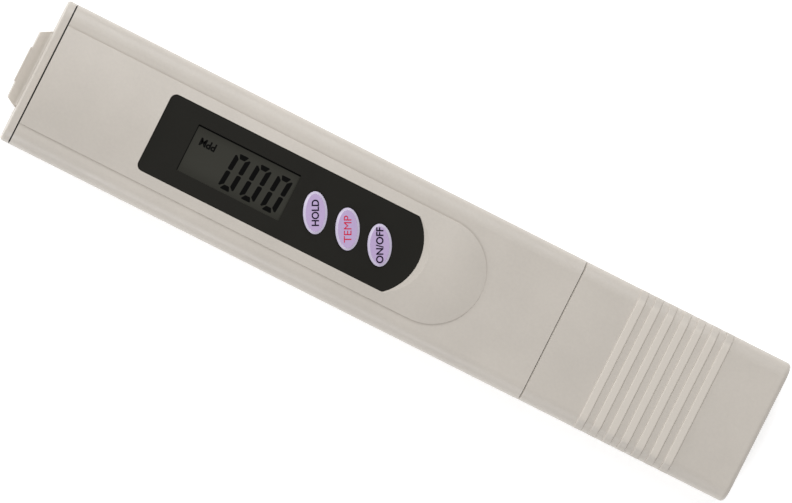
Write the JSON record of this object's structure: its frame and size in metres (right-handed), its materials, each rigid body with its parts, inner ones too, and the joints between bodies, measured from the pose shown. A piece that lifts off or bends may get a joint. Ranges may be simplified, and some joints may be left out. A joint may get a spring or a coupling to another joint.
{
  "type": "pen water tester",
  "caption": "Flat pen-type water tester with an LCD, oval keys, a sliding battery cap with pocket clip, and a ribbed cap over its probe pins.",
  "frame": {"origin": "middle of the outer box, at its lowest level, with the pen lying on its back", "axes": "+X along the pen from the battery end to the protective cap, +Y across, +Z out of the display face"},
  "size_m": [0.1562, 0.0294, 0.023],
  "materials": {
    "casing": "satin moulded ABS, beige grey",
    "panel_black": "smooth black plate",
    "keys": "lilac moulded keys",
    "lcd": "liquid-crystal cell behind a polarising film",
    "board_green": "circuit board with solder resist",
    "dark_plastic": "moulded black plastic",
    "white_plastic": "natural moulded plastic",
    "blue_plastic": "blue trimmer housing",
    "seal_rubber": "black rubber",
    "zebra": "striped conductive rubber",
    "tape": "double-sided adhesive film",
    "label": "plain printed-film label, left blank",
    "steel": "steel",
    "nickel": "nickel-plated spring metal",
    "electrode": "titanium alloy pins",
    "components": "chip resistors and capacitors",
    "holder": "moulded ABS of the probe end"
  },
  "bodies": {
    "housing": {"front_shell": "casing", "rear_shell": "casing", "rear_label": "label", "display_panel": "panel_black", "panel_tape": "tape", "lcd_cell": "lcd", "lcd_frame": "white_plastic", "zebra_strips": "zebra", "main_board": "board_green", "controller_chip": "dark_plastic", "crystal_can": "steel", "small_components": "components", "switch_bases": "dark_plastic", "trimmer_body": "blue_plastic", "board_screws": "steel", "contact_positive": "nickel", "contact_negative": "nickel", "probe_holder": "holder", "probe_gasket": "seal_rubber", "electrode_pins": "electrode", "temperature_probe": "steel", "probe_straps": "nickel"},
    "battery_drawer": {"battery_cap": "casing", "battery_cap_seal": "seal_rubber", "battery_tray": "white_plastic", "cell_link_strap": "nickel", "button_cell_a": "steel", "button_cell_b": "steel"},
    "clip_arm": {"pocket_clip": "casing"},
    "protective_cap": {"protective_cap": "casing"},
    "hold_key": {"hold_button": "keys", "hold_stem": "dark_plastic"},
    "temp_key": {"temp_button": "keys", "temp_stem": "dark_plastic"},
    "power_key": {"power_button": "keys", "power_stem": "dark_plastic"},
    "trimmer_screw": {"trimmer_rotor": "white_plastic"}
  },
  "joints": [
    {"name": "battery_drawer_slide", "type": "slide", "parent": "housing", "child": "battery_drawer", "axis": [-1, 0, 0], "range_m": [0, 0.02]},
    {"name": "clip_flex", "type": "hinge", "parent": "battery_drawer", "child": "clip_arm", "pos_m": [-0.07665, 0, 0.0081], "axis": [0, 1, 0], "range_deg": [0, 6], "stiffness_Nm_per_rad": 1},
    {"name": "protective_cap_slide", "type": "slide", "parent": "housing", "child": "protective_cap", "axis": [1, 0, 0], "range_m": [0, 0.035]},
    {"name": "hold_key_press", "type": "slide", "parent": "housing", "child": "hold_key", "axis": [0, 0, -1], "range_m": [0, 0.0004], "stiffness_N_per_m": 1500},
    {"name": "temp_key_press", "type": "slide", "parent": "housing", "child": "temp_key", "axis": [0, 0, -1], "range_m": [0, 0.0004], "stiffness_N_per_m": 1500},
    {"name": "power_key_press", "type": "slide", "parent": "housing", "child": "power_key", "axis": [0, 0, -1], "range_m": [0, 0.0004], "stiffness_N_per_m": 1500},
    {"name": "trimmer_turn", "type": "hinge", "parent": "housing", "child": "trimmer_screw", "pos_m": [0.0116, 0, 0.0111], "axis": [0, 0, -1], "range_deg": [-130, 130]}
  ]
}
